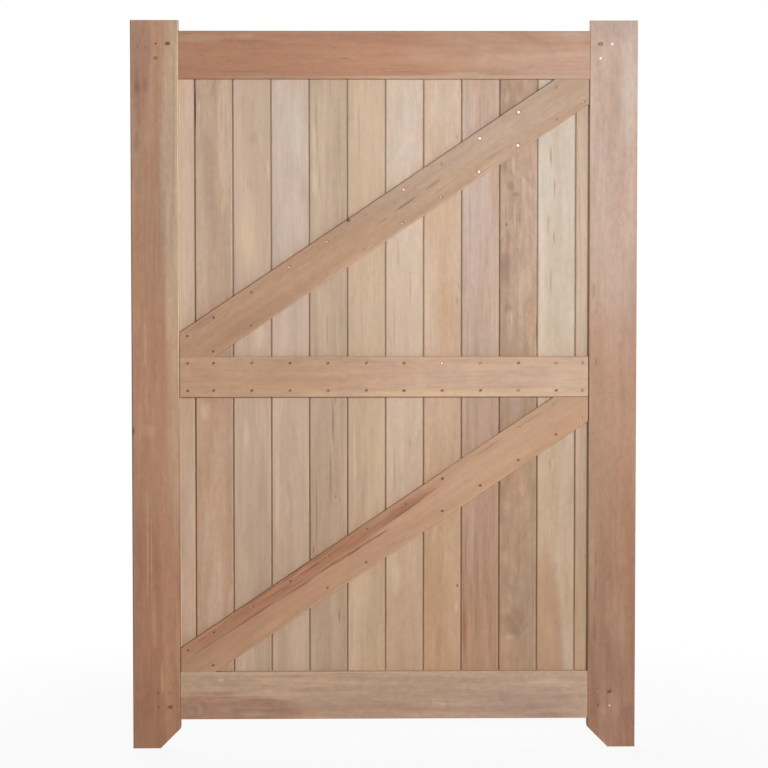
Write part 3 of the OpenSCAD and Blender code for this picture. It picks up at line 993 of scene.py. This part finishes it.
# Colour, metal and roughness of each kind of head; the near-white p and b are painted glints
# standing in for the lamp's reflection, and the dark d and m are partly tarnish and partly painted
# shade of the punched hole
HEADS = {
    "d": (tone(104, 66, 40), 0.0, 0.75),
    "m": (tone(142, 107, 78), 0.0, 0.75),
    "p": (tone(228, 202, 174), 0.0, 0.6),
    "b": (tone(246, 228, 210), 0.3, 0.55),
    "f": (tone(176, 147, 120), 0.0, 0.75),
    "h": (tone(196, 170, 154), 0.0, 0.75),
}
NAIL_HEADS = "dmpbf"
PALE_ROUND = "bf"                 # nails with the paler crushed timber all round them, without the painted shade above
PIN_REACH = 6 * MM                # how far round a pin's middle its colour holds
STEEL_CELLS = (900, 900, 900)
CRUSHED_CELLS = (700, 700, 700)
CRUSHED = (0.65, 0.8)             # roughness of crushed timber
UNEVEN = 0.06                     # how far the roughness of steel varies
STAIN = 0.25                      # how far it turns brown
# A nail punched just under the timber: radius and height of each ring from the middle out
HEAD_RINGS = [(1.3, 0.12), (2.3, 0.08)]
CRATER_RINGS = [(2.4, 0.03), (3.1, 0.26), (4.2, 0.02)]
PIN_RINGS = [(2.5, 0.02), (4.6, 0.12), (6.0, 0.02)]
CROWN = 0.03                      # rise of a head's middle
BIG_HEAD = 1.4
RING_POINTS = 16
ROUND_RADIUS = 3                  # rings wider than this are ragged and oval
FINE, ROUGH, OVAL = 0.03, 0.12, 0.22
LOBES = 2.6
LEAN, LEAN_SWING = 0.7, 0.6       # which way the oval leans, and how much that varies
ABOVE = 0.1                       # how near to its upper side a face takes the painted shade
LEVEL = -1.5                      # seed whose oval lies level


def steel(name, heads):
    """Steel of one fixing, or of several: heads gives each one's place and letter."""
    material, tree, where = new_material(name)
    spread = noise(tree, calc_vector(tree, "MULTIPLY", where, STEEL_CELLS), 2)
    colour, metal, roughness = HEADS[heads[0][1]]
    mixed_metal = len({HEADS[letter][1] for place, letter in heads}) > 1
    for place, letter in heads[1:]:
        away = calc_vector(tree, "SUBTRACT", where, tuple(place))
        away = calc_vector(tree, "MULTIPLY", away, (1, 0, 1))
        near = calc(tree, "LESS_THAN", length_of(tree, away), PIN_REACH)
        tint, sheen, polish = HEADS[letter]
        colour = mix_colour(tree, near, colour, tint)
        if mixed_metal:
            metal = ramp(tree, near, 0, 1, metal, sheen)
        roughness = ramp(tree, near, 0, 1, roughness, polish)
    colour = mix_colour(tree, ramp(tree, spread, *MOST, 0, STAIN), colour, UMBER)
    uneven = ramp(tree, spread, *NEARLY_ALL, -UNEVEN, UNEVEN)
    cover(tree, colour, calc(tree, "ADD", roughness, uneven), spread,
          bump=0.3, depth=0.1 * MM, metal=metal)
    return material


def bruised(name, colour):
    """Timber crushed round a fixing."""
    material, tree, where = new_material(name)
    crushed = noise(tree, calc_vector(tree, "MULTIPLY", where, CRUSHED_CELLS), 3)
    colour = mix_colour(tree, ramp(tree, crushed, *MOST), colour, RED_BROWN)
    cover(tree, colour, ramp(tree, crushed, *NEARLY_ALL, *CRUSHED), crushed,
          bump=0.4, depth=0.2 * MM, specular=0.2)
    return material


def add_rings(mesh, middle, rings, seed, filled, first_slot, shade_slot=None, size=1.0):
    """Adds rings of faces round middle, the outer ones ragged and oval, with painted shade on the
    faces above when a shade slot is given.
    """
    loops = []
    turn = LEAN + LEAN_SWING * sin(seed)
    for radius, height in rings:
        loop = []
        for k in range(RING_POINTS):
            angle = tau * k / RING_POINTS
            ragged = 1 + FINE * sin(seed + k)
            if radius > ROUND_RADIUS:
                ragged = 1 + ROUGH * sin(LOBES * k + seed) + OVAL * cos(2 * (angle - turn))
            reach = radius * ragged * size * MM
            loop.append(mesh.verts.new((middle.x + reach * cos(angle), middle.y - height * MM,
                                        middle.z + reach * sin(angle))))
        loops.append(loop)
    if filled:
        top = mesh.verts.new((middle.x, middle.y - (rings[0][1] + CROWN) * MM, middle.z))
        for k in range(RING_POINTS):
            mesh.faces.new((top, loops[0][k - 1], loops[0][k])).material_index = first_slot
    for inner, outer in zip(loops, loops[1:]):
        for k in range(RING_POINTS):
            face = mesh.faces.new((inner[k - 1], outer[k - 1], outer[k], inner[k]))
            face.smooth = True
            above = cos(tau * (k - 0.5) / RING_POINTS - turn) > ABOVE
            face.material_index = shade_slot if above and shade_slot is not None else first_slot


def finish_mesh(mesh, name, materials):
    """Turns a mesh into a piece of the gate."""
    data = bpy.data.meshes.new(name)
    mesh.to_mesh(data)
    mesh.free()
    piece = add_object(name, data)
    for material in materials:
        data.materials.append(material)
    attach(piece, "root")


def make_nails():
    """Nails that hold the boards to the ledge and the braces, one piece for each member."""
    steels = [steel("nail_steel_" + letter, [(None, letter)]) for letter in NAIL_HEADS]
    # Crushed timber in two copies for the nail craters: the paler one is painted light on the lower
    # wall, the darker one partly a bruise and partly painted shade on the upper wall
    pale = bruised("crushed_timber_and_painted_light", tone(192, 158, 130))
    dark = bruised("bruise_and_painted_shade", UMBER)
    for member, rows in NAILS.items():
        start, slope, length = seat(member)
        heads, craters = bmesh.new(), bmesh.new()
        for across, row in rows:
            for entry in row.split():
                along, letter = float(entry[:-1]), entry[-1].lower()
                size = BIG_HEAD if entry[-1] == "B" else 1.0
                middle = Vector((start.x + (along * cos(slope) + across * sin(slope)) * MM,
                                 start.y,
                                 start.z + (along * sin(slope) - across * cos(slope)) * MM))
                add_rings(heads, middle, HEAD_RINGS, along, True, NAIL_HEADS.index(letter),
                          size=size)
                # Painted shade on each crater's upper side, painted light below
                add_rings(craters, middle, CRATER_RINGS, along, False, 0,
                          0 if letter in PALE_ROUND else 1, size)
        finish_mesh(heads, member + "_nails", steels)
        finish_mesh(craters, member + "_nail_marks", [pale, dark])


def finish_pins():
    """Steel of the pins through the frame, some bright and some tarnished or filled."""
    bruise = {"x": bruised("pin_bruise", UMBER),
              "o": bruised("pale_pin_bruise", tone(158, 122, 96))}
    for name, (letters, bruises) in PINS.items():
        low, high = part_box(name)
        places = [Vector((x, low.y, z)) for z in (high.z - PIN_R, low.z + PIN_R)
                  for x in (low.x + PIN_R, high.x - PIN_R)]
        paint(name, steel(name + "_steel", [(None, "d")] + list(zip(places, letters))))
        marks = bmesh.new()
        for place, letter in zip(places, bruises):
            if letter in bruise:
                add_rings(marks, Vector((place.x, REAR, place.z)), PIN_RINGS,
                          LEVEL, False, list(bruise).index(letter))
        finish_mesh(marks, name[:-1] + "_marks", list(bruise.values()))


# ---- light and floor -------------------------------------------------

FLOOR_REACH = 12
FLOOR_GREY = (0.86, 0.86, 0.86, 1)
SHADOW_ENDS = (0.8, 2.2)          # metres from the gate between which the floor turns white
WHITE_BY_GATE = 0.9
AMBIENT = 0.22                    # strength of the surroundings as light
# Lamps: where each stands and aims, its size and its power
LAMPS = {
    "key_lamp": ((2.3, -7.6, 2.0), (0.62, 0, 1.0), 0.7, 392),
    "back_lamp": ((-1.6, 6.8, 2.4), (0.62, 0, 0.9), 1.6, 330),
    "side_lamp": ((6.4, 1.6, 2.6), (1.2, 0, 0.9), 1.6, 90),
}


def make_floor():
    """Plain pale floor, level with the feet of the gate."""
    mesh = bpy.data.meshes.new("floor")
    corners = [(x * FLOOR_REACH, y * FLOOR_REACH, 0)
               for x, y in ((-1, -1), (1, -1), (1, 1), (-1, 1))]
    mesh.from_pydata(corners, [], [(0, 1, 2, 3)])
    floor = add_object("floor", mesh)
    material, tree, where = new_material("floor_white")
    matt = add_node(tree, "ShaderNodeBsdfDiffuse", {"Color": FLOOR_GREY})
    lit = add_node(tree, "ShaderNodeEmission", {"Color": WHITE, "Strength": 1.0})
    seen = add_node(tree, "ShaderNodeLightPath").outputs["Is Camera Ray"]
    # Away from the gate nothing but white shows, and near it the shadow.
    away = calc_vector(tree, "SUBTRACT", where, ((LOW.x + HIGH.x) / 2, 0, 0))
    plain = ramp(tree, length_of(tree, away), *SHADOW_ENDS, WHITE_BY_GATE, 1.0)
    mixed = add_node(tree, "ShaderNodeMixShader",
                     {0: calc(tree, "MULTIPLY", seen, plain), 1: matt.outputs[0],
                      2: lit.outputs[0]})
    put_out(tree, mixed.outputs[0])
    mesh.materials.append(material)


def make_world():
    """Even white surroundings: plain white to look at, softer as light."""
    world = bpy.data.worlds.new("studio")
    bpy.context.scene.world = world
    world.use_nodes = True
    tree = world.node_tree
    tree.nodes.clear()
    path = add_node(tree, "ShaderNodeLightPath").outputs
    seen = calc(tree, "MAXIMUM", path["Is Camera Ray"], path["Is Glossy Ray"])
    seen = calc(tree, "MAXIMUM", seen, path["Is Transmission Ray"])
    strength = calc(tree, "MULTIPLY_ADD", seen, 1 - AMBIENT, AMBIENT)
    background = add_node(tree, "ShaderNodeBackground", {"Color": WHITE, "Strength": strength})
    put_out(tree, background.outputs[0], "ShaderNodeOutputWorld")


def make_lamps():
    """Square soft lamps."""
    for name, (place, target, size, power) in LAMPS.items():
        data = bpy.data.lights.new(name, "AREA")
        data.size = size
        data.energy = power
        lamp = add_object(name, data)
        lamp.location = place
        aim(lamp, Vector(target))


# ---- the scene -------------------------------------------------------

make_camera()
finish_timber()
finish_pins()
make_nails()
make_floor()
make_world()
make_lamps()

scene = bpy.context.scene
scene.view_settings.view_transform = "Standard"
